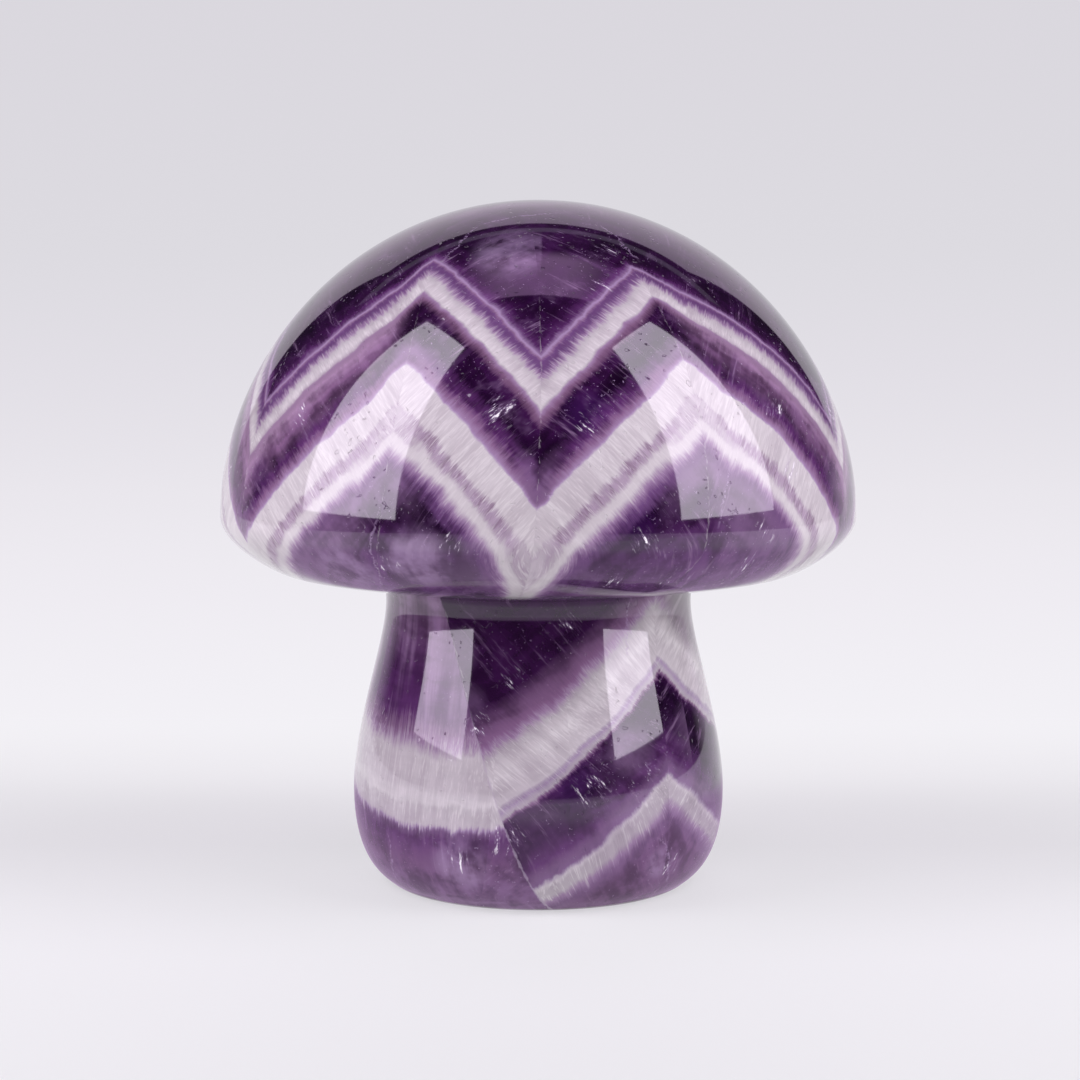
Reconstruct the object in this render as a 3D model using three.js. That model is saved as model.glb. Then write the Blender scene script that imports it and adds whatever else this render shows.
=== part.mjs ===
// A mushroom carved from one piece of banded amethyst, with a domed cap on a swelling stem.
// Millimetres, +Z up, with the origin at the middle of the flat foot.
import * as THREE from 'three';

const height = 55;
const capRadius = 25.5;
const capWidestHeight = 29.9;
const domeTopReach = 15.4;
const domeSideReach = 11.7;

// The rolled lip, from the widest point of the cap to where its underside begins
const lipRadius = 20.4;
const lipHeight = 25.4;
const lipSideReach = 2;
const lipUnderReach = 1.4;
const undersideSlope = 0.24;

// The crisp crease where the cap meets the stem
const creaseRadius = 12.5;
const creaseHeight = 24.1;
const neckReach = new THREE.Vector2(-1, -2.45);

const bulgeRadius = 15;
const bulgeHeight = 7.6;
const bulgeRise = 6.2;
const bulgeDrop = 5.8;

// The foot tucks in to a flat base, with its edge eased by hand
const baseRadius = 11.8;
const baseAngle = THREE.MathUtils.degToRad(44);
const easedEdge = 0.5;

const turns = 72;
const steps = { dome: 14, lip: 7, underside: 3, stem: 9, foot: 6, edge: 2 };

const point = (radius, z) => new THREE.Vector2(radius, z);

// One stretch of the outline: its two ends, the pull of each end, and its number of steps
function stretch(start, startPull, end, endPull, divisions) {
  const curve = new THREE.CubicBezierCurve(
    start,
    start.clone().add(startPull),
    end.clone().add(endPull),
    end,
  );
  return curve.getPoints(divisions);
}

function carvingOutline() {
  const top = point(0, height);
  const widest = point(capRadius, capWidestHeight);
  const lip = point(lipRadius, lipHeight);
  const crease = point(creaseRadius, creaseHeight);
  const bulge = point(bulgeRadius, bulgeHeight);
  const tuck = point(Math.cos(baseAngle), Math.sin(baseAngle)).multiplyScalar(easedEdge);
  const baseCorner = point(baseRadius, 0);
  const footEnd = baseCorner.clone().add(tuck);
  const baseEdge = point(baseRadius - easedEdge, 0);
  const undersideReach = (lipRadius - creaseRadius) / 3;

  const dome = stretch(top, point(domeTopReach, 0), widest, point(0, domeSideReach), steps.dome);
  const roll = stretch(
    widest,
    point(0, -lipSideReach),
    lip,
    point(lipUnderReach, lipUnderReach * undersideSlope),
    steps.lip,
  );
  const underside = stretch(
    lip,
    point(-undersideReach, -undersideReach * undersideSlope),
    crease,
    point(undersideReach, undersideReach * undersideSlope),
    steps.underside,
  );
  const stem = stretch(crease, neckReach, bulge, point(0, bulgeRise), steps.stem);
  const foot = stretch(bulge, point(0, -bulgeDrop), footEnd, tuck, steps.foot);
  const edge = new THREE.QuadraticBezierCurve(footEnd, baseCorner, baseEdge).getPoints(steps.edge);

  // Neighbouring stretches share a point, so each one after the first drops its own copy
  const later = [roll, underside, stem, foot, edge].flatMap((part) => part.slice(1));
  return [...dome, ...later, point(0, 0)];
}

function polishedStone() {
  return new THREE.MeshStandardMaterial({ color: 0x6b4678, roughness: 0.12, metalness: 0 });
}

// The outline is reversed, base first, so that the turned surface faces outwards
function mushroom() {
  const outline = carvingOutline().reverse();
  const geometry = new THREE.LatheGeometry(outline, turns);
  geometry.rotateX(Math.PI / 2);
  const mesh = new THREE.Mesh(geometry, polishedStone());
  mesh.name = 'mushroom';
  return mesh;
}

const carving = new THREE.Group();
carving.add(mushroom());

export default carving;
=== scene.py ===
# Banded amethyst mushroom on a pale sweep, with a softbox on each side
from functools import reduce
import math
from types import SimpleNamespace

import bmesh
import bpy
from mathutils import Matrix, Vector
from mathutils.geometry import interpolate_bezier


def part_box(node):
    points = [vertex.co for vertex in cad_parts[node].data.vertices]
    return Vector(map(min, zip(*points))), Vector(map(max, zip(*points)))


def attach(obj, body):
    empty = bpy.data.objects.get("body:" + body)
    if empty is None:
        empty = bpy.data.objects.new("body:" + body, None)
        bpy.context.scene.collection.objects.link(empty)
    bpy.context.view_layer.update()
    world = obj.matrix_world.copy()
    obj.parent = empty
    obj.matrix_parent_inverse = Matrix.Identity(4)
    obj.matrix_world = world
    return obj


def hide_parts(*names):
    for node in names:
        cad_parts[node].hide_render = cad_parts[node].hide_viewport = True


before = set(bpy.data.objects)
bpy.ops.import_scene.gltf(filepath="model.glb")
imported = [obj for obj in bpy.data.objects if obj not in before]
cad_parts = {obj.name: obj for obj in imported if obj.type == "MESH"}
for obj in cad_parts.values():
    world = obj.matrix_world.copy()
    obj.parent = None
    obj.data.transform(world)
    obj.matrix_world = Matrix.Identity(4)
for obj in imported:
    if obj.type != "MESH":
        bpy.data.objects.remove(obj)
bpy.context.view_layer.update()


# Shader sums

class Wire:
    def __init__(self, tree, socket):
        self.tree = tree
        self.socket = socket

    @staticmethod
    def sum(operation, *terms):  # a Math node, or Vector Math where a term is a vector
        tree = next(term.tree for term in terms if isinstance(term, Wire))
        vectors = [isinstance(term, Wire) and term.socket.type == "VECTOR" for term in terms]
        node = tree.nodes.new("ShaderNodeVectorMath" if any(vectors) else "ShaderNodeMath")
        scaled = any(vectors) and operation == "MULTIPLY"  # a vector times a number
        node.operation = "SCALE" if scaled else operation
        sockets = [node.inputs[0], node.inputs["Scale"]] if scaled else node.inputs
        if scaled and not vectors[0]:
            terms = terms[::-1]
        for socket, term in zip(sockets, terms):
            if isinstance(term, Wire):
                tree.links.new(term.socket, socket)
            else:
                socket.default_value = term
        return Wire(tree, node.outputs[0])

    def __add__(self, other):
        return Wire.sum("ADD", self, other)

    def __radd__(self, other):
        return Wire.sum("ADD", other, self)

    def __sub__(self, other):
        return Wire.sum("SUBTRACT", self, other)

    def __rsub__(self, other):
        return Wire.sum("SUBTRACT", other, self)

    def __mul__(self, other):
        return Wire.sum("MULTIPLY", self, other)

    def __rmul__(self, other):
        return Wire.sum("MULTIPLY", other, self)

    def __pow__(self, other):
        return Wire.sum("POWER", self, other)

    def __abs__(self):
        return Wire.sum("ABSOLUTE", self)

    def __gt__(self, other):
        return Wire.sum("GREATER_THAN", self, other)

    def __lt__(self, other):
        return Wire.sum("LESS_THAN", self, other)

    def largest(self, other):
        return Wire.sum("MAXIMUM", self, other)

    def smallest(self, other):
        return Wire.sum("MINIMUM", self, other)


class Finish:
    def __init__(self, name):
        self.material = bpy.data.materials.new(name)
        self.material.use_nodes = True
        self.tree = self.material.node_tree
        self.tree.nodes.clear()
        self.place = self.node("ShaderNodeTexCoord", output="Object")

    def node(self, kind, settings=None, sockets=None, output=0):
        made = self.tree.nodes.new(kind)
        for name, value in (settings or {}).items():
            if name == "stops":
                self.setStops(made.color_ramp, value)
            else:
                setattr(made, name, value)
        for name, value in (sockets or {}).items():
            if isinstance(value, Wire):
                self.tree.links.new(value.socket, made.inputs[name])
            else:
                made.inputs[name].default_value = value
        if isinstance(output, list):
            return [Wire(self.tree, made.outputs[name]) for name in output]
        return Wire(self.tree, made.outputs[output])

    def setStops(self, ramp, stops):
        while len(ramp.elements) < len(stops):
            ramp.elements.new(1)
        for element, (position, colour) in zip(ramp.elements, stops):
            element.position = position
            element.color = (*colour, 1)

    def parts(self, place):
        return self.node("ShaderNodeSeparateXYZ", sockets={0: place}, output=[0, 1, 2])

    def join(self, across, along, up):
        return self.node("ShaderNodeCombineXYZ", sockets={0: across, 1: along, 2: up})

    def dot(self, first, second):
        return self.node(
            "ShaderNodeVectorMath", {"operation": "DOT_PRODUCT"}, {0: first, 1: second}, "Value"
        )

    def noise(self, place, scale=1, detail=0, roughness=0.5, shift=None):
        place = place * scale
        if shift:
            place = place + shift
        return self.node(
            "ShaderNodeTexNoise",
            {"noise_dimensions": "3D"},
            {"Vector": place, "Scale": 1, "Detail": detail, "Roughness": roughness},
        )

    def ease(self, value, low, high):
        return self.node(
            "ShaderNodeMapRange",
            {"interpolation_type": "SMOOTHSTEP"},
            {"Value": value, "From Min": low, "From Max": high},
        )

    def ramp(self, share, stops):
        return self.node("ShaderNodeValToRGB", {"stops": stops}, {0: share})

    def blend(self, share, first, second, mode="MIX"):
        return self.node(
            "ShaderNodeMix",
            {"data_type": "RGBA", "blend_type": mode},
            {0: share, 6: self.opaque(first), 7: self.opaque(second)},
            2,
        )

    def blendVector(self, share, first, second):
        return self.node(
            "ShaderNodeMix", {"data_type": "VECTOR"}, {0: share, 4: first, 5: second}, 1
        )

    def opaque(self, colour):
        return colour if isinstance(colour, Wire) else (*colour, 1)

    def glow(self, colour, strength=1):
        return self.node(
            "ShaderNodeEmission", sockets={"Color": self.opaque(colour), "Strength": strength}
        )

    def end(self, shader):
        self.node("ShaderNodeOutputMaterial", sockets={"Surface": shader}, output=[])
        return self.material


def between(share, first, second):
    return first + share * (second - first)


# The banding

palette = {
    "deep": (0.012, 0.0010, 0.018),
    "night": (0.027, 0.0045, 0.037),
    "purple": (0.072, 0.021, 0.092),
    "indigo": (0.075, 0.014, 0.155),
    "plum": (0.112, 0.056, 0.120),
    "violet": (0.125, 0.056, 0.158),
    "mauve": (0.205, 0.110, 0.212),
    "brownMauve": (0.160, 0.083, 0.152),
    "rose": (0.300, 0.200, 0.300),
    "heather": (0.360, 0.268, 0.368),
    "dusk": (0.190, 0.112, 0.222),
    "mist": (0.160, 0.092, 0.182),
    "lilac": (0.290, 0.184, 0.315),
    "lavender": (0.350, 0.250, 0.400),
    "pearl": (0.400, 0.335, 0.425),
    "grey": (0.215, 0.184, 0.208),
    "ash": (0.435, 0.402, 0.422),
    "milk": (0.570, 0.535, 0.548),
    "white": (0.695, 0.672, 0.668),
    "bright": (0.95, 0.93, 0.95),
}

# What a cut through the crystals shows, from the tips down: how far in mm above the base of the
# first white band, the colour, and how frayed, dashed and needled the growth is there
capZones = [
    (8.0, "night", 0.3, 0.0, 0.6),
    (5.0, "deep", 0.3, 0.0, 0.7),
    (3.5, "night", 0.6, 0.0, 1.0),
    (2.95, "purple", 0.6, 0.0, 0.7),
    (2.68, "dusk", 0.15, 0.0, 0.2),
    (2.53, "lavender", 0.1, 0.0, 0.0),
    (2.38, "mauve", 0.2, 0.1, 0.2),
    (2.20, "violet", 0.5, 0.0, 0.3),
    (1.85, "violet", 1.2, 0.1, 0.2),
    (1.40, "lilac", 1.4, 0.3, 0.0),
    (1.12, "ash", 1.2, 0.4, 0.0),
    (0.60, "milk", 0.5, 0.6, 0.0),
    (0.10, "milk", 0.1, 0.4, 0.0),
    (0.00, "ash", 0.0, 0.0, 0.0),
    (-0.12, "lilac", 0.1, 0.0, 0.0),
    (-0.45, "brownMauve", 0.4, 0.0, 0.2),
    (-1.00, "night", 0.8, 0.0, 1.0),
    (-2.60, "deep", 1.3, 0.0, 1.0),
    (-3.70, "purple", 1.3, 0.0, 0.7),
    (-4.30, "mauve", 1.0, 0.0, 0.3),
    (-4.66, "lilac", 0.2, 0.0, 0.0),
    (-4.80, "lavender", 0.05, 0.0, 0.0),
    (-4.94, "milk", 0.1, 0.4, 0.0),
    (-6.95, "milk", 0.6, 0.5, 0.0),
    (-7.36, "heather", 1.0, 1.0, 0.0),
    (-7.90, "heather", 1.0, 1.0, 0.0),
    (-8.28, "milk", 0.7, 0.3, 0.0),
    (-8.72, "milk", 0.5, 0.2, 0.0),
    (-9.30, "lilac", 1.0, 0.1, 0.0),
    (-9.9, "violet", 1.1, 0.0, 0.3),
    (-10.8, "deep", 1.0, 0.0, 0.8),
    (-16.0, "purple", 0.5, 0.0, 0.9),
]
stemZones = [
    (11.0, "night", 0.4, 0.0, 0.4),
    (8.5, "night", 0.4, 0.0, 0.6),
    (6.2, "night", 0.4, 0.0, 0.5),
    (5.2, "plum", 0.4, 0.0, 0.4),
    (4.3, "mauve", 0.8, 0.0, 0.1),
    (3.8, "lilac", 1.0, 0.3, 0.0),
    (3.3, "ash", 1.0, 0.6, 0.0),
    (2.8, "milk", 0.8, 0.62, 0.0),
    (2.2, "white", 0.7, 0.62, 0.0),
    (1.3, "milk", 0.6, 0.55, 0.0),
    (0.60, "milk", 0.3, 0.4, 0.0),
    (0.40, "milk", 0.1, 0.3, 0.0),
    (0.22, "pearl", 0.1, 0.5, 0.0),
    (0.04, "lavender", 0.1, 0.5, 0.0),
    (-0.10, "pearl", 0.1, 0.3, 0.0),
    (-0.38, "ash", 0.3, 0.3, 0.0),
    (-0.54, "mauve", 0.5, 0.0, 0.2),
    (-0.76, "night", 0.6, 0.0, 0.6),
    (-1.3, "deep", 0.7, 0.0, 0.9),
    (-3.4, "deep", 0.5, 0.0, 0.8),
    (-4.8, "purple", 0.4, 0.0, 0.5),
    (-5.60, "mist", 0.3, 0.0, 0.2),
    (-6.10, "dusk", 0.3, 0.0, 0.2),
    (-6.34, "pearl", 0.3, 0.4, 0.0),
    (-6.48, "milk", 0.4, 0.5, 0.0),
    (-6.8, "ash", 0.6, 0.6, 0.0),
    (-7.6, "ash", 0.8, 0.5, 0.0),
    (-8.1, "lilac", 0.9, 0.3, 0.0),
    (-8.8, "mist", 0.9, 0.0, 0.3),
    (-9.8, "plum", 0.5, 0.0, 0.6),
    (-13.0, "plum", 0.5, 0.0, 0.8),
]
# The stem's left crystal is streaked, and its white band ends in teeth
streakedZones = [
    (14.0, "plum", 1.0, 0.0, 0.5),
    (10.0, "purple", 1.0, 0.0, 0.5),
    (7.6, "purple", 2.0, 0.0, 0.3),
    (6.2, "mauve", 2.0, 0.2, 0.2),
    (5.7, "lilac", 2.0, 0.4, 0.0),
    (4.9, "milk", 1.3, 0.5, 0.0),
    (3.8, "milk", 1.0, 0.5, 0.0),
    (2.9, "milk", 0.8, 0.4, 0.0),
    (1.7, "white", 0.6, 0.4, 0.0),
    (1.4, "milk", 0.8, 0.6, 0.0),
    (0.2, "milk", 0.9, 0.4, 0.0),
    (-0.05, "lavender", 1.2, 0.2, 0.0),
    (-0.3, "mist", 1.2, 0.0, 0.2),
    (-0.9, "purple", 0.9, 0.0, 0.6),
    (-3.0, "plum", 0.7, 0.0, 0.9),
    (-5.0, "mist", 0.7, 0.0, 0.9),
    (-13.0, "plum", 0.7, 0.0, 0.9),
]

# Crystals side by side, each with one or two faces, which meet at its ridge. A face is given by
# the way it leans (degrees round from +X, and from upright), the height in mm of its first white
# band, and how much its growth turns mauve (in the cap, below the band) or grey (in the stem,
# above it). "shown" is the way that the crystal looks out of the stone, round and upwards. A
# crystal with "cracks" lies behind all of their planes, each given the way a face is given,
# and a streaked one takes the streaked zones.
capCrystals = [
    {"faces": [(146, 40, 35.4, 1.0), (15, 53, 18.95, 0.0)], "shown": (-120, 35)},
    {"faces": [(180, 44, 28.15, 0.0), (80, 52, 17.8, 0.75)], "shown": (-63, 35)},
    {"faces": [(50, 46, 24.7, 0.3), (-60, 46, 24.7, 0.8)], "shown": (175, 35)},
    {"faces": [(-111, 45, 24.5, 0.7), (142, 44, 24.6, 0.2)], "shown": (15, 35)},
    {"faces": [(-54, 45, 27.2, 0.2), (-170, 45, 27.2, 0.9)], "shown": (68, 35)},
    {"faces": [(-7, 44, 26.2, 0.6), (-113, 44, 26.2, 0.0)], "shown": (120, 35)},
]
stemCrystals = [
    {"faces": [(-25, 39, 17.0, 0.9), (157, 39, 11.1, 0.0)], "shown": (45, 0)},
    {"faces": [(-20, 39, 5.2, 0.0), (-162, 39, 15.3, 0.0)], "shown": (130, 0)},
    {"faces": [(-150, 39, 12.6, 0.0), (18, 40, 18.5, 1.0)], "shown": (-75, 0),
     "cracks": [(88, 80, 4.5)]},
    {"faces": [(-125, 20, 11.4, 0.0)], "shown": (-125, 0), "streaked": 1.0,
     "cracks": [(88, 80, 4.5), (-17, 70, 4.2)]},
]

# Bright fractures and sheaves of fibres just under the surface: where, and their reach, in mm
fractures = [
    ((5.0, -13.2, 50.8), 1.3),
    ((4.5, -16.8, 48.0), 1.2),
    ((-2.7, -23.4, 39.2), 1.7),
    ((3.6, -23.6, 38.2), 1.2),
    ((17.7, -15.9, 38.5), 2.0),
    ((18.6, -16.7, 34.5), 1.5),
    ((-17.5, -16.0, 38.6), 1.6),
    ((5.7, -22.3, 26.8), 1.3),
    ((9.7, -21.0, 27.0), 1.7),
    ((15.2, -18.6, 27.8), 1.5),
    ((16.7, -19.3, 30.1), 1.2),
    ((7.6, -24.3, 29.8), 1.3),
    ((-6.3, -24.6, 29.4), 1.6),
    ((-10.8, -21.8, 27.6), 1.5),
    ((2.4, -12.1, 22.3), 1.1),
    ((-2.0, -12.9, 18.4), 1.0),
    ((-4.6, -13.2, 14.6), 1.4),
    ((4.2, -14.2, 10.0), 1.9),
    ((8.6, -11.9, 11.1), 1.3),
    ((-2.6, -14.6, 6.4), 2.0),
    ((-6.2, -13.2, 4.2), 1.7),
    ((10.3, -9.8, 3.0), 1.6),
]
# Pale clouds and violet glows deeper in the stone, the same way
clouds = [
    ((-1.8, -14.0, 50.6), 3.8),
    ((-8.8, -23.0, 28.2), 3.4),
    ((-6.0, -13.4, 4.0), 3.0),
    ((9.4, -11.0, 3.6), 1.8),
    ((-14.0, -19.5, 27.2), 3.2),
]
glows = [
    ((-20.2, -13.2, 33.8), 2.4),
    ((3.6, -23.4, 39.0), 2.6),
    ((2.4, -14.6, 10.6), 2.8),
    ((-4.5, -24.6, 32.0), 2.0),
    ((7.0, -24.0, 31.0), 2.2),
]
# Wider mist round the cap's lip and over the stem, the same way
mists = [
    ((-8.4, -23.2, 28.2), 3.4),
    ((15.8, -19.6, 32.0), 4.6),
    ((-16.0, -19.0, 30.0), 5.0),
    ((-2.5, -23.3, 28.1), 5.0),
    ((-6.6, -10.9, 19.9), 2.6),
    ((-5.6, -12.4, 16.2), 2.2),
    ((7.2, -12.5, 12.7), 2.6),
    ((12.6, -6.6, 13.2), 4.0),
]
# Healed cracks, each a thin wavy sheet: the way it faces (as a face leans), a place on it, and its
# reach in mm
healedCracks = [
    ((149, 88), (-5.8, -11.5, 51.3), 3.2),
    ((106, 71), (-1.5, -8.8, 53.1), 3.8),
    ((35, 86), (6.1, -11.2, 51.3), 3.2),
    ((158, 79), (-11.2, -20.3, 29.2), 4.6),
    ((-149, 79), (13.5, -21.3, 32.8), 2.8),
    ((131, 81), (-11.2, -8.2, 3.2), 3.2),
    ((33, 63), (9.8, -10.3, 3.7), 3.0),
    ((-143, 84), (7.3, -11.0, 21.9), 2.8),
]

# The noises in the stone: waves in a mm, detail, roughness, and a shift that keeps two apart
grain = {
    "sway": {"scale": 0.35, "detail": 2},
    "quiver": {"scale": 1.6, "detail": 2, "roughness": 0.6},
    "threads": {"scale": 2.6, "detail": 3, "roughness": 0.7},
    "fineThreads": {"scale": 7.0, "detail": 2, "roughness": 0.7},
    "broadThreads": {"scale": 1.0, "detail": 2, "roughness": 0.6},
    "columns": {"scale": 0.5, "shift": (2, 5, 1)},
    "smoke": {"scale": 0.45, "detail": 3, "roughness": 0.6, "shift": (7, 3, 1)},
    "wisps": {"scale": 0.55, "detail": 3, "roughness": 0.7, "shift": (2, 8, 4)},
    "layers": {"scale": 1.0, "detail": 1},
    "grit": {"scale": 4.5, "detail": 1, "roughness": 0.7},
    "shards": {"scale": 3.0, "detail": 3, "roughness": 0.75, "shift": (3, 9, 5)},
    "pits": {"scale": 2.6, "shift": (4, 2, 8)},
    "pitPatches": {"scale": 0.4, "shift": (5, 5, 0)},
}
# How strongly each mark covers what lies under it, from 0 to 1
cover = {
    "softGround": 0.3,
    "columns": 0.6,
    "greyTop": 0.9,
    "fadedRow": 0.6,
    "blush": 0.75,
    "flush": 0.8,
    "haze": 0.8,
    "valley": 0.75,
    "lip": 0.5,
    "darkTones": 0.85,
    "glow": 0.2,
    "wisps": 0.4,
    "milkTones": 0.8,
    "dashes": 0.65,
    "fineDashes": 0.4,
    "gleam": 0.5,
    "needles": 0.65,
    "speckle": 0.6,
    "cloud": 0.7,
    "healedCrack": 0.5,
    "openCrack": 0.6,
    "seam": 0.35,
    "fracture": 0.55,
    "sparks": 0.7,
}
# Factors that darken or lift the growth: their least and their most
tones = {
    "dark": ((0.45, 0.37, 0.45), (1.40, 1.36, 1.40)),
    "milk": ((0.80, 0.765, 0.80), (1.03, 1.03, 1.03)),
}
# Where the growth changes and how far, in mm, and in degrees round from +X
layout = {
    "capRadius": (13, 19),  # from the stem's growth to the cap's
    "capHeight": (26, 34),
    "sway": 0.85,  # how far the bands wander, slowly and quickly
    "quiver": 0.26,
    "tintDrop": 0.8,  # how much lower the bands lie on a tinted face of the cap
    "tintReach": (0.2, 3.2),  # past a ridge, to the tint of the next face
    "ridgeDrop": 0.6,  # how much lower the second band's foot lies near a ridge
    "farOff": 9.0,  # to a ridge or crack, where a crystal has none
    "fray": {  # of the bands' edges, times what their zone asks
        "threads": 1.1, "fineThreads": 1.2, "broadThreads": 0.6,
    },
    "frontThird": (-155, -35),  # where the small marks are
}
polish = {
    "roughness": 0.045,
    "ior": 1.55,
    "specular": 0.53,
    "specularTint": (1, 0.95, 1.02, 1),
    "coat": 0.28,
    "coatRoughness": 0.04,
    "pitDepth": 0.00004,
}


def faceLean(turn, tilt):
    turn, tilt = math.radians(turn), math.radians(tilt)
    return Vector(
        (math.sin(tilt) * math.cos(turn), math.sin(tilt) * math.sin(turn), math.cos(tilt))
    )


# One crystal: the height above its first white band, the way across its fibres, its tint, and
# how near its ridge is
def crystalGrowth(finish, place, crystal):
    turn, rise = crystal["shown"]
    outwards = faceLean(turn, 90 - rise)
    levels, sides, tints = [], [], []
    for turn, tilt, height, tint in crystal["faces"]:
        lean = faceLean(turn, tilt)
        levels.append(finish.dot(place, lean) - height)
        sides.append(lean.cross(outwards).normalized())
        tints.append(tint)
    if len(levels) == 1:
        return levels[0], sides[0], tints[0], layout["farOff"]
    lead = levels[1] - levels[0]
    change = tints[1] - tints[0]
    near, far = layout["tintReach"]
    turned = finish.ease(lead, near, far) if change > 0 else finish.ease(lead, -far, -near)
    side = finish.blendVector(lead > 0, *sides)
    return levels[0].largest(levels[1]), side, turned * change + tints[0], abs(lead)


# Each place belongs to the crystal that reaches highest there, and what lies behind a crystal's
# cracks belongs to that one. This tells, too, how near the seams and the crack are.
def growth(finish, place, crystals):
    first, *others = crystals
    level, side, tint, seam = crystalGrowth(finish, place, first)
    streaked, crack = 0.0, layout["farOff"]
    for crystal in others:
        ownLevel, ownSide, ownTint, ridge = crystalGrowth(finish, place, crystal)
        if "cracks" in crystal:
            gap = reduce(Wire.largest, [
                finish.dot(place, faceLean(turn, tilt)) - height
                for turn, tilt, height in crystal["cracks"]
            ])
            crack = abs(gap)
        else:
            gap = ownLevel - level
        chosen = gap < 0
        level = between(chosen, level, ownLevel)
        side = finish.blendVector(chosen, side, ownSide)
        tint = between(chosen, tint, ownTint)
        streaked = between(chosen, streaked, crystal.get("streaked", 0.0))
        seam = between(chosen, seam, ridge).smallest(abs(gap))
    return SimpleNamespace(
        level=level, side=side, tint=tint, streaked=streaked, seam=seam, crack=crack
    )


# The colour at a level, and how frayed, dashed and needled the growth is there
def zoneRamps(finish, level, zones):
    high, low = zones[0][0], zones[-1][0]
    share = (level - low) * (1 / (high - low))
    stops = [((stop[0] - low) / (high - low), stop) for stop in reversed(zones)]
    colour = finish.ramp(share, [(at, palette[stop[1]]) for at, stop in stops])
    habit = finish.ramp(share, [(at, stop[2:]) for at, stop in stops])
    return colour, *finish.node("ShaderNodeSeparateColor", sockets={0: habit}, output=[0, 1, 2])


# The bands' edges are ragged, on a softer ground
def bands(finish, stone, level, zones):
    softColour, fray, _, _ = zoneRamps(finish, level, zones)
    colour, _, dash, needle = zoneRamps(finish, level + fray * stone.ragged, zones)
    return finish.blend(cover["softGround"], colour, softColour), dash, needle


# How near a place is to any of the spots, which is 1 at a spot's reach and 0 in its middle
def nearest(finish, place, spots):
    return reduce(Wire.smallest, [
        finish.node(
            "ShaderNodeVectorMath", {"operation": "DISTANCE"}, {0: place, 1: middle}, "Value"
        ) * (1 / reach)
        for middle, reach in spots
    ])


# Small marks stand in the front third of the stone, and come again on its other two thirds
def foldThirds(finish, stone):
    low, high = [math.radians(turn) for turn in layout["frontThird"]]
    turn = Wire.sum("ARCTAN2", stone.along, stone.across)
    folded = Wire.sum("WRAP", turn, high, low)
    return finish.join(
        stone.radius * Wire.sum("COSINE", folded), stone.radius * Wire.sum("SINE", folded), stone.up
    )


# Draws a pattern out along the fibres, and keeps a share of its change that way
def alongFibres(stone, share):
    return stone.place * share + stone.side * (stone.spread * (1 - share))


# What the colours are worked out from, at each place in the stone
def layOut(finish):
    stone = SimpleNamespace(place=finish.place * 1000)  # in mm
    stone.across, stone.along, stone.up = finish.parts(stone.place)
    stone.radius = (stone.across * stone.across + stone.along * stone.along) ** 0.5
    stone.inCap = finish.ease(stone.radius, *layout["capRadius"]).largest(
        finish.ease(stone.up, *layout["capHeight"])
    )
    stone.marksPlace = foldThirds(finish, stone)
    stone.sway = finish.noise(stone.place, **grain["sway"]) - 0.5
    stone.quiver = finish.noise(stone.place, **grain["quiver"]) - 0.5

    cap = growth(finish, stone.place, capCrystals)
    stem = growth(finish, stone.place, stemCrystals)
    bend = stone.sway * layout["sway"] + stone.quiver * layout["quiver"]
    cap.level = cap.level + cap.tint * layout["tintDrop"] + bend
    stem.level = stem.level + bend

    # Under the cap's second band the growth stays pale near the ridges
    nearRidge = finish.ease(cap.seam, 5.0, 1.0)
    drop = finish.ease(cap.level, -7.9, -8.7) * nearRidge * layout["ridgeDrop"]
    cap.level = cap.level + drop
    cap.pale = nearRidge * finish.ease(cap.level, -12.4, -10.8) * 0.9
    stone.level = between(stone.inCap, stem.level, cap.level)
    stone.side = finish.blendVector(stone.inCap, stem.side, cap.side)
    stone.seam = between(stone.inCap, stem.seam, cap.seam)
    stone.crack = stem.crack

    # Fibres run the way the crystal grew, so they change fast only from side to side
    stone.spread = finish.dot(stone.place, stone.side)
    stone.fibres = alongFibres(stone, 0.1)
    stone.threads = finish.noise(stone.fibres, **grain["threads"])
    stone.fineThreads = finish.noise(stone.fibres, **grain["fineThreads"])
    stone.broadThreads = finish.noise(stone.fibres, **grain["broadThreads"])
    fray = layout["fray"]
    stone.ragged = (stone.threads - 0.5) * fray["threads"] \
        + (stone.fineThreads - 0.5) * fray["fineThreads"] \
        + (stone.broadThreads - 0.5) * fray["broadThreads"]
    stone.smoke = finish.noise(stone.place, **grain["smoke"])
    stone.wisps = finish.noise(stone.fibres, **grain["wisps"])
    stone.grit = finish.noise(stone.place, **grain["grit"])
    stone.billow = finish.ease(stone.smoke * 0.6 + stone.wisps * 0.4, 0.35, 0.62)
    return stone, cap, stem


def stemBands(finish, stone, stem):
    colour, dash, needle = bands(finish, stone, stem.level, stemZones)
    streakColour, streakDash, streakNeedle = bands(finish, stone, stem.level, streakedZones)
    colour = finish.blend(stem.streaked, colour, streakColour)
    dash = between(stem.streaked, dash, streakDash)
    needle = between(stem.streaked, needle, streakNeedle)

    # Broad streaks run up the streaked crystal above its white band
    columns = finish.noise(stone.fibres, **grain["columns"])
    streaks = finish.ease(columns * 0.6 + stone.broadThreads * 0.4, 0.45, 0.60)
    upper = finish.ease(stem.level + stone.ragged, 5.0, 6.6) * stem.streaked
    colour = finish.blend(upper * streaks * cover["columns"], colour, palette["lilac"])

    # Grey growth over the white band on one side of the stem
    greyTop = finish.ease(stem.level, 2.2, 3.8) * stem.tint
    greyStreaks = finish.ease(stone.broadThreads, 0.42, 0.74)
    greys = finish.blend(greyStreaks, palette["grey"], palette["ash"])
    colour = finish.blend(greyTop * cover["greyTop"], colour, greys)
    return colour, dash, needle * (1 - greyTop)


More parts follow.
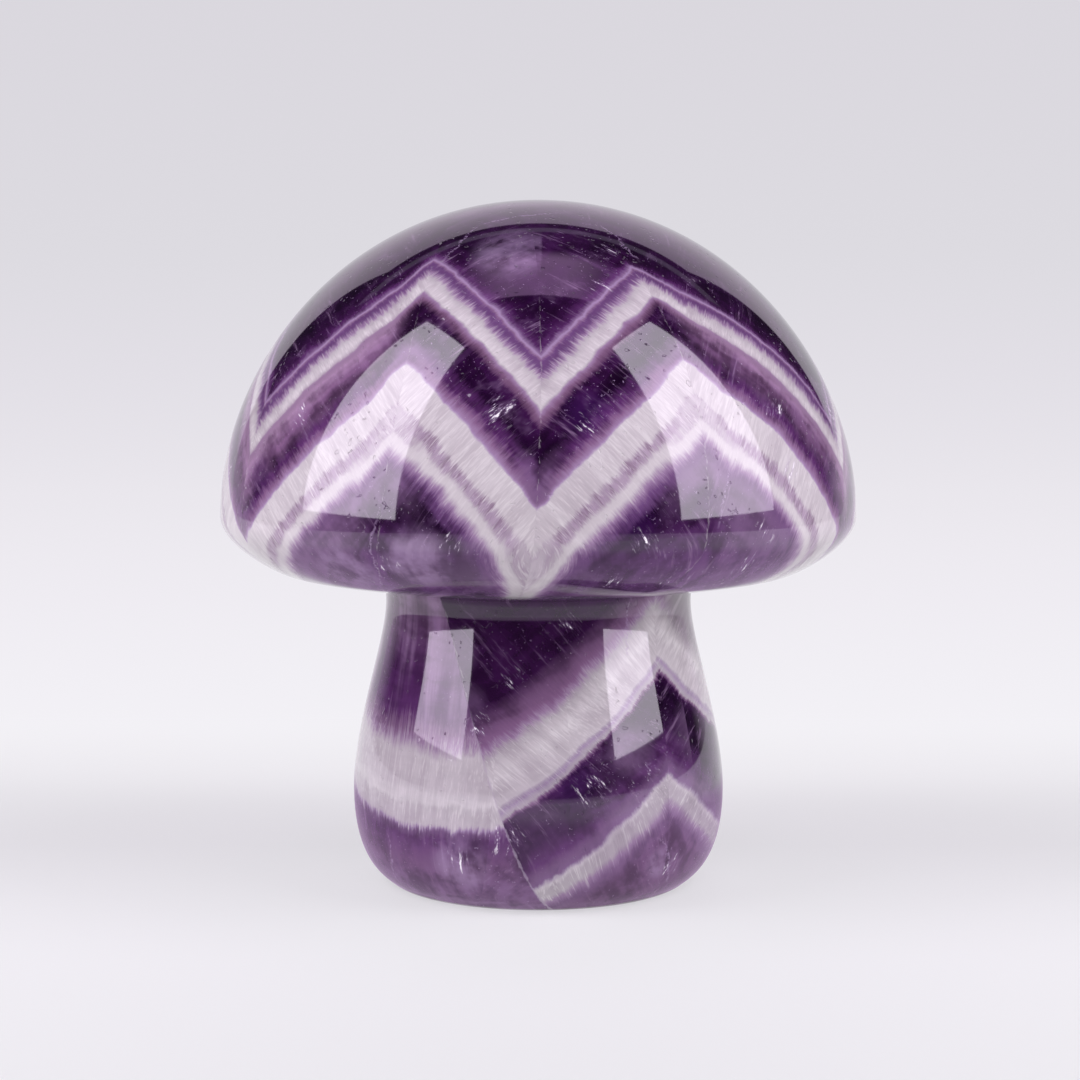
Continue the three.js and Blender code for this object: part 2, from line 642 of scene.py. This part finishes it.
def capBands(finish, stone, cap):
    colour, dash, needle = bands(finish, stone, cap.level, capZones)

    # The dash row in the second band fades near the ridges
    row = finish.ease(dash, 0.7, 1.0) * finish.ease(cap.seam, 3.0, 0.6)
    colour = finish.blend(row * cover["fadedRow"], colour, palette["milk"])
    dash = dash * (1 - row * 0.5)

    # Mauve under the first white band, wide on some faces
    uneven = stone.broadThreads - 0.5
    soft = finish.ease(cap.level, 0.5, -0.5) * cap.tint
    blush = finish.ease(cap.level + uneven * 1.5, -3.8, -1.6) * soft
    colour = finish.blend(blush * cover["blush"], colour, palette["mauve"])
    flush = finish.ease(cap.level + uneven, -2.0, -0.6) * soft
    colour = finish.blend(flush * cover["flush"], colour, palette["rose"])

    # Mist under the second white band, in the chevrons' valleys and round the lip
    haze = finish.ease(cap.level + uneven, -9.0, -10.2) * cap.tint.largest(cap.pale)
    colour = finish.blend(haze * cover["haze"], colour, palette["mist"])
    valley = finish.ease(cap.level + uneven, -2.4, -3.8) * finish.ease(cap.level, -4.8, -4.4)
    valley = valley * finish.ease(cap.seam, 3.2, 0.4)
    colour = finish.blend(valley * cover["valley"], colour, palette["mist"])
    lip = finish.ease(stone.up + stone.sway * 4, 31.5, 27.5) * needle
    colour = finish.blend(lip * cover["lip"], colour, palette["violet"])
    return colour, dash, needle


# Growth layers, violet glows, smoke and mist in the dark growth
def addDepth(finish, stone, colour, needle):
    layersPlace = finish.join(stone.level * 1.4, stone.spread * 0.15, stone.up * 0.1)
    layers = finish.noise(layersPlace, **grain["layers"])
    tone = finish.ease(stone.smoke + stone.wisps * 0.7 + layers * 0.6, 0.90, 1.35)
    tone = finish.blend(tone, *tones["dark"])
    inDark = finish.ease(needle, 0, 0.8)
    colour = finish.blend(inDark * cover["darkTones"], colour, tone, "MULTIPLY")
    glow = finish.ease(nearest(finish, stone.marksPlace, glows), 1.0, 0.2)
    colour = finish.blend(glow * needle * cover["glow"], colour, palette["indigo"])
    smoky = finish.ease(stone.smoke, 0.56, 0.76) * needle
    smoky = smoky * (stone.inCap * 0.2 + 0.2)  # twice as strong in the cap
    colour = finish.blend(smoky, colour, palette["mist"])
    wispy = finish.ease(stone.wisps, 0.58, 0.76) * needle
    colour = finish.blend(wispy * cover["wisps"], colour, palette["violet"])
    misty = finish.ease(nearest(finish, stone.marksPlace, mists), 1.0, 0.4)
    misty = misty * (stone.billow * 0.5 + 0.4)
    return finish.blend(misty * needle, colour, palette["mist"])


# The milk is mottled along its fibres, with grey dashes and white threads
def addMilk(finish, stone, colour, dash):
    tone = finish.ease(stone.wisps * 0.6 + stone.broadThreads * 0.4, 0.38, 0.56)
    tone = finish.blend(tone, *tones["milk"])
    inMilk = finish.ease(dash, 0.1, 0.5)
    colour = finish.blend(inMilk * cover["milkTones"], colour, tone, "MULTIPLY")
    dashes = finish.ease(stone.threads, 0.54, 0.38) * finish.ease(dash, 0.3, 1.0)
    dashes = dashes * finish.ease(stone.broadThreads, 0.76, 0.50)
    dashColour = finish.blend(stone.inCap, palette["grey"], palette["brownMauve"])
    colour = finish.blend(dashes * cover["dashes"], colour, dashColour)
    dashed = finish.ease(dash, 0, 0.5)
    fineDashes = finish.ease(stone.fineThreads, 0.58, 0.36) * dashed
    colour = finish.blend(fineDashes * cover["fineDashes"], colour, palette["ash"])
    gleam = finish.ease(stone.fineThreads, 0.50, 0.72) * dashed
    return finish.blend(gleam * cover["gleam"], colour, palette["white"])


# Pale needles, hairs and speckle through the dark
def addNeedles(finish, stone, colour, needle):
    needles = finish.ease(stone.threads, 0.54, 0.74) * finish.ease(stone.wisps, 0.46, 0.60)
    colour = finish.blend(needles * needle * cover["needles"], colour, palette["lilac"])
    hairs = finish.ease(stone.fineThreads, 0.62, 0.80) * finish.ease(stone.smoke, 0.48, 0.64)
    hairs = hairs * needle * (stone.inCap * 0.4 + 0.3)  # stronger in the cap
    colour = finish.blend(hairs, colour, palette["lavender"])
    speckle = finish.ease(stone.grit, 0.67, 0.75) * finish.ease(stone.broadThreads, 0.42, 0.58)
    return finish.blend(speckle * needle * cover["speckle"], colour, palette["lavender"])


# Clouds, the one on the dome cut short by the seam there
def addClouds(finish, stone, colour, needle):
    cloud = finish.ease(nearest(finish, stone.marksPlace, clouds), 1.0, 0.35)
    pastSeam = finish.ease(stone.across, 0.15, 0.35) * finish.ease(stone.up, 47.5, 48.5)
    cloud = cloud * (1 - pastSeam) * stone.billow * needle.largest(0.4)
    return finish.blend(cloud * cover["cloud"], colour, palette["lavender"])


# Healed cracks, the open crack in the stem, and the seams between faces
def addCracks(finish, stone, colour):
    wave = stone.sway * 1.6 + stone.quiver * 0.5
    broken = finish.ease(stone.grit, 0.40, 0.55)
    for facing, middle, reach in healedCracks:
        lean = faceLean(*facing)
        away = finish.dot(stone.marksPlace, lean) - lean.dot(Vector(middle)) + wave
        near = finish.ease(nearest(finish, stone.marksPlace, [(middle, reach)]), 1.0, 0.5)
        sheet = finish.ease(abs(away), 0.16, 0.02) * near * broken
        colour = finish.blend(sheet * cover["healedCrack"], colour, palette["lavender"])
    split = finish.ease(stone.crack + stone.quiver * 0.4, 0.13, 0.03) * (1 - stone.inCap)
    darkPart = split * finish.ease(stone.up, 14, 18)
    colour = finish.blend(darkPart * cover["openCrack"], colour, palette["night"])
    palePart = split * finish.ease(stone.up, 17, 12)
    colour = finish.blend(palePart * cover["openCrack"], colour, palette["pearl"])
    seam = finish.ease(stone.seam + stone.quiver * 0.3, 0.14, 0.02)
    seam = seam * finish.ease(stone.threads, 0.46, 0.62) * finish.ease(stone.up, 49, 44)
    return finish.blend(seam * cover["seam"], colour, palette["ash"])


# Bright fractures and specks
def addFractures(finish, stone, colour):
    shards = finish.noise(alongFibres(stone, 0.2), **grain["shards"])
    near = finish.ease(nearest(finish, stone.marksPlace, fractures), 1.0, 0.1)
    edges = near * finish.ease(shards, 0.50, 0.64)
    colour = finish.blend(edges * cover["fracture"], colour, palette["lavender"])
    colour = finish.blend(near * finish.ease(shards, 0.60, 0.65), colour, palette["bright"])
    sparks = finish.ease(stone.grit, 0.79, 0.85) * finish.ease(stone.smoke, 0.46, 0.56)
    return finish.blend(sparks * cover["sparks"], colour, palette["white"])


# Small pits left in the polish
def pitBump(finish, stone):
    pits = finish.ease(finish.noise(stone.place, **grain["pits"]), 0.74, 0.80)
    patches = finish.ease(finish.noise(stone.place, **grain["pitPatches"]), 0.48, 0.58)
    return finish.node(
        "ShaderNodeBump",
        {"invert": True},
        {"Strength": 1.0, "Distance": polish["pitDepth"], "Height": pits * patches},
    )


def makeAmethyst():
    finish = Finish("bandedAmethyst")
    stone, cap, stem = layOut(finish)
    stemColour, stemDash, stemNeedle = stemBands(finish, stone, stem)
    capColour, capDash, capNeedle = capBands(finish, stone, cap)
    colour = finish.blend(stone.inCap, stemColour, capColour)
    dash = between(stone.inCap, stemDash, capDash)
    needle = between(stone.inCap, stemNeedle, capNeedle)

    colour = addDepth(finish, stone, colour, needle)
    colour = addMilk(finish, stone, colour, dash)
    colour = addNeedles(finish, stone, colour, needle)
    colour = addClouds(finish, stone, colour, needle)
    colour = addCracks(finish, stone, colour)
    colour = addFractures(finish, stone, colour)
    return finish.end(finish.node(
        "ShaderNodeBsdfPrincipled",
        sockets={
            "Base Color": colour,
            "Roughness": polish["roughness"],
            "IOR": polish["ior"],
            "Specular IOR Level": polish["specular"],
            "Specular Tint": polish["specularTint"],
            "Coat Weight": finish.ease(needle, 0, 0.6) * polish["coat"],
            "Coat Roughness": polish["coatRoughness"],
            "Normal": pitBump(finish, stone),
        },
    ))


# The carving

carving = {
    "widestHeight": 0.0299,
    "domeTopReach": 0.0154,
    "domeSideReach": 0.0117,
    "lipRadius": 0.0204,
    "lipHeight": 0.0254,
    "lipSideReach": 0.0020,
    "lipUnderReach": 0.0014,
    "undersideSlope": 0.24,
    "creaseRadius": 0.0125,
    "creaseHeight": 0.0241,
    "neckIn": 0.0010,
    "neckDown": 0.00245,
    "bulgeRadius": 0.0150,
    "bulgeHeight": 0.0076,
    "bulgeRise": 0.0062,
    "bulgeDrop": 0.0058,
    "baseRadius": 0.0118,
    "baseAngle": 44,
    "easedEdge": 0.0005,
    "steps": {"dome": 60, "lip": 24, "underside": 12, "stem": 34, "foot": 22, "edge": 5},
    "turns": 288,
    "crispAngle": 35,
    "mergeDistance": 1e-7,
}


def carvingOutline():
    size, steps = carving, carving["steps"]
    low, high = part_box("mushroom")
    top = Vector((0, 0, high.z))
    widest = Vector((high.x, 0, size["widestHeight"]))
    lip = Vector((size["lipRadius"], 0, size["lipHeight"]))
    crease = Vector((size["creaseRadius"], 0, size["creaseHeight"]))
    bulge = Vector((size["bulgeRadius"], 0, size["bulgeHeight"]))
    baseCorner = Vector((size["baseRadius"], 0, low.z))
    angle = math.radians(size["baseAngle"])
    tuck = Vector((math.cos(angle), 0, math.sin(angle))) * size["easedEdge"]
    footEnd = baseCorner + tuck
    baseEdge = baseCorner - Vector((size["easedEdge"], 0, 0))
    slope = Vector((1, 0, size["undersideSlope"]))
    under = slope * (lip.x - crease.x) / 3
    pull = 2 / 3  # of the way to the corner, which gives the edge its even round

    # Each stretch: its start, the two points that pull it, its end, and its number of steps
    stretches = [
        (top, top + Vector((size["domeTopReach"], 0, 0)),
         widest + Vector((0, 0, size["domeSideReach"])), widest, steps["dome"]),
        (widest, widest - Vector((0, 0, size["lipSideReach"])),
         lip + slope * size["lipUnderReach"], lip, steps["lip"]),
        (lip, lip - under, crease + under, crease, steps["underside"]),
        (crease, crease - Vector((size["neckIn"], 0, size["neckDown"])),
         bulge + Vector((0, 0, size["bulgeRise"])), bulge, steps["stem"]),
        (bulge, bulge - Vector((0, 0, size["bulgeDrop"])), footEnd + tuck, footEnd,
         steps["foot"]),
        (footEnd, footEnd.lerp(baseCorner, pull), baseEdge.lerp(baseCorner, pull), baseEdge,
         steps["edge"]),
    ]
    points = [top]
    for start, startPull, endPull, end, count in stretches:
        points += interpolate_bezier(start, startPull, endPull, end, count + 1)[1:]
    return points + [Vector((0, 0, low.z))]


def chain(shape, points):
    corners = [shape.verts.new(point) for point in points]
    return corners, [shape.edges.new(pair) for pair in zip(corners, corners[1:])]


def finishMesh(shape, name, material):
    mesh = bpy.data.meshes.new(name)
    shape.to_mesh(mesh)
    shape.free()
    mesh.materials.append(material)
    piece = bpy.data.objects.new(name, mesh)
    bpy.context.scene.collection.objects.link(piece)
    return piece


def makeCarving():
    shape = bmesh.new()
    corners, lines = chain(shape, carvingOutline())
    bmesh.ops.spin(
        shape,
        geom=corners + lines,
        cent=(0, 0, 0),
        axis=(0, 0, 1),
        angle=math.tau,
        steps=carving["turns"],
        use_merge=True,
    )
    bmesh.ops.remove_doubles(shape, verts=shape.verts, dist=carving["mergeDistance"])
    bmesh.ops.recalc_face_normals(shape, faces=shape.faces)
    for face in shape.faces:
        face.smooth = True
    for edge in shape.edges:
        edge.smooth = edge.calc_face_angle(0) < math.radians(carving["crispAngle"])
    piece = finishMesh(shape, "amethystMushroom", makeAmethyst())
    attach(piece, "root")
    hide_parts("mushroom")


# The sweep, the reflectors, the lights and the camera

mirroredOnly = ("camera", "diffuse", "shadow")  # hidden from all but the stone's own gloss


# A mesh that stands round the carving, hidden from the kinds of ray that are named
def addStage(shape, name, material, hidden=()):
    piece = finishMesh(shape, name, material)
    for ray in hidden:
        setattr(piece, "visible_" + ray, False)


def flatShape(corners):
    shape = bmesh.new()
    shape.faces.new([shape.verts.new(corner) for corner in corners])
    return shape


# The paper is lit near the carving, and farther off it glows in painted shades of its own, which
# are given by how far along the floor and up the wall they are. That glow is painted light: it
# darkens up the wall as a painted falloff of the light, and dips in a soft painted shadow band
# across the floor at the carving's depth. Near the carving a share of the glow is mixed into the
# lit paper, which is painted light that softens the paper's shadows
sweep = {
    "front": -0.20,
    "distance": 0.50,
    "halfWidth": 0.377,
    "height": 0.596,
    "bend": 0.12,
    "bendPull": 0.55,
    "bendSteps": 24,
    "paperFront": (0.705, 0.745, 0.705),
    "paperBack": (0.80, 0.85, 0.80),
    "paperChange": (-0.07, 0.0),
    "roughness": 0.6,
    "specular": 0.2,
    "litBehind": (0.02, 0.08),
    "litBefore": (-0.12, -0.17),
    "litBeside": (0.045, 0.075),
    "nearGlow": 0.60,
    # painted shades: lower up the wall as a painted falloff of the light, with a painted shadow
    # band at 0.013
    "paintedShades": [
        (-0.200, (0.930, 0.915, 0.950)),
        (-0.040, (0.920, 0.905, 0.940)),
        (-0.004, (0.900, 0.885, 0.920)),
        (0.013, (0.850, 0.835, 0.870)),
        (0.045, (0.905, 0.890, 0.925)),
        (0.095, (0.888, 0.871, 0.914)),
        (0.200, (0.863, 0.839, 0.888)),
        (0.404, (0.823, 0.799, 0.847)),
        (0.490, (0.761, 0.738, 0.791)),
        (0.546, (0.723, 0.707, 0.752)),
        (0.640, (0.701, 0.680, 0.730)),
        (0.760, (0.800, 0.720, 0.820)),
        (1.090, (0.720, 0.610, 0.750)),
    ],
}


def paleSweep():
    size = sweep
    finish = Finish("paleSweep")
    across, along, up = finish.parts(finish.place)
    paperShare = finish.ease(along, *size["paperChange"])
    paper = finish.node(
        "ShaderNodeBsdfPrincipled",
        sockets={
            "Base Color": finish.blend(paperShare, size["paperFront"], size["paperBack"]),
            "Roughness": size["roughness"],
            "Specular IOR Level": size["specular"],
        },
    )
    start = size["front"]
    reach = size["distance"] + size["height"] - start
    # the glow's painted light and painted shadow band
    paintedShades = finish.ramp(
        (along + up - start) * (1 / reach),
        [((at - start) / reach, colour) for at, colour in size["paintedShades"]],
    )
    away = finish.ease(along, *size["litBehind"]).largest(finish.ease(along, *size["litBefore"]))
    away = away.largest(finish.ease(abs(across), *size["litBeside"]))
    # near the carving the glow mixed into the lit paper is painted light, which softens its shadows
    share = between(away, size["nearGlow"], 1)
    return finish.end(finish.node(
        "ShaderNodeMixShader", sockets={0: share, 1: paper, 2: finish.glow(paintedShades)}
    ))


def makeSweep():
    size = sweep
    half, back, bend = size["halfWidth"], size["distance"], size["bend"]
    floorEnd = Vector((-half, back - bend, 0))
    wallStart = Vector((-half, back, bend))
    corner = Vector((-half, back, 0))
    pull = size["bendPull"]
    arc = interpolate_bezier(
        floorEnd, floorEnd.lerp(corner, pull), wallStart.lerp(corner, pull), wallStart,
        size["bendSteps"],
    )
    shape = bmesh.new()
    _, lines = chain(shape, [(-half, size["front"], 0), *arc, (-half, back, size["height"])])
    made = bmesh.ops.extrude_edge_only(shape, edges=lines)
    moved = [item for item in made["geom"] if isinstance(item, bmesh.types.BMVert)]
    bmesh.ops.translate(shape, verts=moved, vec=(2 * half, 0, 0))
    bmesh.ops.recalc_face_normals(shape, faces=shape.faces)
    for face in shape.faces:
        face.smooth = True
    addStage(shape, "sweep", paleSweep())


# Seen past the sweep from other sides, and by the camera alone
surround = {
    "radius": 1.5,
    "segments": 48,
    "rings": 24,
    "floor": -0.002,
    "lowShade": (0.93, 0.91, 0.955),
    "highShade": (0.72, 0.69, 0.76),
    "shadeHeight": 0.30,
}


def makeSurround():
    size = surround
    shape = bmesh.new()
    bmesh.ops.create_uvsphere(
        shape, u_segments=size["segments"], v_segments=size["rings"], radius=size["radius"]
    )
    bmesh.ops.bisect_plane(
        shape,
        geom=shape.verts[:] + shape.edges[:] + shape.faces[:],
        plane_co=(0, 0, size["floor"]),
        plane_no=(0, 0, 1),
        clear_inner=True,
    )
    rim = [edge for edge in shape.edges if edge.is_boundary]
    bmesh.ops.contextual_create(shape, geom=rim)
    finish = Finish("paleSurround")
    _, _, up = finish.parts(finish.place)
    shade = finish.blend(
        finish.ease(up, 0, size["shadeHeight"]), size["lowShade"], size["highShade"]
    )
    material = finish.end(finish.glow(shade))
    addStage(shape, "surround", material, hidden=("diffuse", "glossy", "shadow"))


# A dim cloth overhead, brightest in its middle
ceiling = {
    "height": 0.40,
    "front": -0.025,
    "back": 0.14,
    "halfWidth": 0.14,
    "middleShare": 0.3,
    "backFade": 0.05,
    "tint": (0.90, 0.53, 1),
    "glow": 1.4,
}


def makeCeiling():
    size = ceiling
    half, front, back = size["halfWidth"], size["front"], size["back"]
    finish = Finish("overheadCloth")
    across, along, _ = finish.parts(finish.place)
    share = finish.ease(abs(across), half, half * size["middleShare"]) \
        * finish.ease(along, back, back - size["backFade"])
    material = finish.end(finish.glow(finish.blend(share, (0, 0, 0), size["tint"]), size["glow"]))
    corners = [(-half, front), (half, front), (half, back), (-half, back)]
    shape = flatShape([(*corner, size["height"]) for corner in corners])
    addStage(shape, "overheadCloth", material, hidden=("camera",))


# A dim strip over the backdrop, seen only as a thin line on the dome
strip = {
    "low": 0.68,
    "high": 0.76,
    "widthShare": 1.6,
    "tint": (0.9, 0.85, 1),
    "glow": 0.25,
}


def makeStrip():
    low, high = strip["low"], strip["high"]
    half, back = sweep["halfWidth"] * strip["widthShare"], sweep["distance"]
    finish = Finish("backdropStrip")
    material = finish.end(finish.glow(strip["tint"], strip["glow"]))
    corners = [(-half, low), (half, low), (half, high), (-half, high)]
    shape = flatShape([(across, back, up) for across, up in corners])
    addStage(shape, "backdropStrip", material, hidden=("camera",))


# Beside and before the sweep, glowing panels that only the stone mirrors paint the floor's
# reflection fading out, which shows only low in the stone
wings = {
    "reach": 0.95,
    "low": -0.08,
    "high": 0.16,
    "fullHeight": 0.03,
    "fullShare": 0.9,
    "apronFront": -0.85,
    "tint": (0.72, 0.62, 0.75),
}


def makeWings():
    size = wings
    half, back, front = sweep["halfWidth"], sweep["distance"], sweep["front"]
    reach, low, high, apronFront = size["reach"], size["low"], size["high"], size["apronFront"]
    finish = Finish("floorWings")
    across, along, up = finish.parts(finish.place)
    share = finish.ease(abs(across), reach, half * size["fullShare"]) \
        * finish.ease(up, high, size["fullHeight"]) * finish.ease(along, apronFront, front)
    # painted reflection: the panels glow like lit floor, fading away from the sweep and upwards
    material = finish.end(finish.glow(finish.blend(share, (0, 0, 0), size["tint"])))
    panels = {
        "leftWing": [(-reach, back, low), (-half, back, low), (-half, back, high),
                     (-reach, back, high)],
        "rightWing": [(half, back, low), (reach, back, low), (reach, back, high),
                      (half, back, high)],
        "apron": [(-half, apronFront, 0), (half, apronFront, 0), (half, front, 0),
                  (-half, front, 0)],
    }
    for name, corners in panels.items():
        addStage(flatShape(corners), name, material, hidden=mirroredOnly)


# A lilac disc round the foot, which only the stone shows: a painted shadow that puts the shade of
# the floor under the cap into the stone's reflection, fading out to clear at its rim
paintedShadowDisc = {
    "radius": 0.065,
    "fullShare": 0.55,
    "segments": 48,
    "lift": 0.0003,
    "shade": (0.52, 0.40, 0.57),
}


def makePaintedShadowDisc():
    size = paintedShadowDisc
    finish = Finish("paintedFloorShadow")
    across, along, _ = finish.parts(finish.place)
    away = (across * across + along * along) ** 0.5
    share = finish.ease(away, size["radius"], size["radius"] * size["fullShare"])
    clear = finish.node("ShaderNodeBsdfTransparent")
    # painted shadow: a dim lilac glow where the floor under the cap lies in shade, seen only in
    # reflections
    material = finish.end(finish.node(
        "ShaderNodeMixShader", sockets={0: share, 1: clear, 2: finish.glow(size["shade"])}
    ))
    shape = bmesh.new()
    bmesh.ops.create_circle(
        shape, cap_ends=True, segments=size["segments"], radius=size["radius"]
    )
    bmesh.ops.translate(shape, verts=shape.verts, vec=(0, 0, size["lift"]))
    addStage(shape, "paintedFloorShadow", material, hidden=mirroredOnly)


# A softbox on each side, turned round from the front. Its lamp lights the stone, and its face is
# what the stone mirrors, dimmer on the side turned to the backdrop
softbox = {
    "turn": 66,
    "distance": 0.17,
    "width": 0.118,
    "foot": 0.037,
    "top": 0.350,
    "glow": 4.6,
    "faceGlow": 4.9,
    "faceFront": (1, 0.955, 1.04),
    "faceBack": (0.80, 0.76, 0.83),
    "faceDistance": 1.01,  # times the lamp's
}
fill = {
    "place": (0, -0.55, 0.16),
    "target": (0, 0, 0.03),
    "size": 0.40,
    "glow": 2.2,
}
lampTint = (1, 0.925, 1.04)
worldShade = (0.022, 0.022, 0.025, 1)


def addLamp(name, place, width, height, glow, target):
    lamp = bpy.data.lights.new(name, "AREA")
    lamp.shape = "RECTANGLE"
    lamp.size = width
    lamp.size_y = height
    lamp.energy = glow * width * height * math.pi
    lamp.color = lampTint
    panel = bpy.data.objects.new(name, lamp)
    panel.location = place
    panel.rotation_euler = (Vector(target) - Vector(place)).to_track_quat("-Z", "Y").to_euler()
    panel.visible_camera = panel.visible_glossy = False
    bpy.context.scene.collection.objects.link(panel)


def makeSoftboxFace(turn):
    size = softbox
    outwards = Vector((math.sin(turn), -math.cos(turn), 0)) * size["distance"] \
        * size["faceDistance"]
    sideways = Vector((math.cos(turn), math.sin(turn), 0)) * size["width"] / 2
    foot, top = Vector((0, 0, size["foot"])), Vector((0, 0, size["top"]))
    finish = Finish("softboxFace")
    _, along, _ = finish.parts(finish.place)
    middle, half = outwards.y, abs(sideways.y)
    share = (along - (middle - half)) * (1 / (2 * half))
    colour = finish.blend(share, size["faceFront"], size["faceBack"])
    material = finish.end(finish.glow(colour, size["faceGlow"]))
    material.cycles.emission_sampling = "NONE"
    shape = flatShape([outwards + corner for corner in (
        foot - sideways, foot + sideways, top + sideways, top - sideways
    )])
    addStage(shape, "softboxFace", material, hidden=mirroredOnly)


def makeLights():
    size = softbox
    middle = (size["foot"] + size["top"]) / 2
    for side in (-1, 1):
        turn = math.radians(side * size["turn"])
        place = Vector((math.sin(turn), -math.cos(turn), 0)) * size["distance"]
        place.z = middle
        addLamp("softbox", place, size["width"], size["top"] - size["foot"], size["glow"],
                (0, 0, middle))
        makeSoftboxFace(turn)
    addLamp("fill", fill["place"], fill["size"], fill["size"], fill["glow"], fill["target"])
    world = bpy.data.worlds.new("studio")
    bpy.context.scene.world = world
    world.use_nodes = True
    world.node_tree.nodes["Background"].inputs["Color"].default_value = worldShade


camera = {
    "lens": 85,
    "sensorWidth": 36,
    "nearest": 0.01,
    "place": (0.00013, -0.2053, 0.0466),
    "downTilt": 5.255,
}


def makeCamera():
    lens = bpy.data.cameras.new("camera")
    lens.lens = camera["lens"]
    lens.sensor_width = camera["sensorWidth"]
    lens.clip_start = camera["nearest"]
    eye = bpy.data.objects.new("camera", lens)
    eye.location = camera["place"]
    eye.rotation_euler = (math.radians(90 - camera["downTilt"]), 0, 0)
    bpy.context.scene.collection.objects.link(eye)
    bpy.context.scene.camera = eye


makeCamera()
print("camera placed")
makeSweep()
makeSurround()
makeCeiling()
makeStrip()
makeWings()
makePaintedShadowDisc()
print("sweep and reflectors placed")
makeLights()
print("lights placed")
makeCarving()
print("amethyst mushroom turned and finished")
bpy.context.scene.view_settings.view_transform = "Standard"
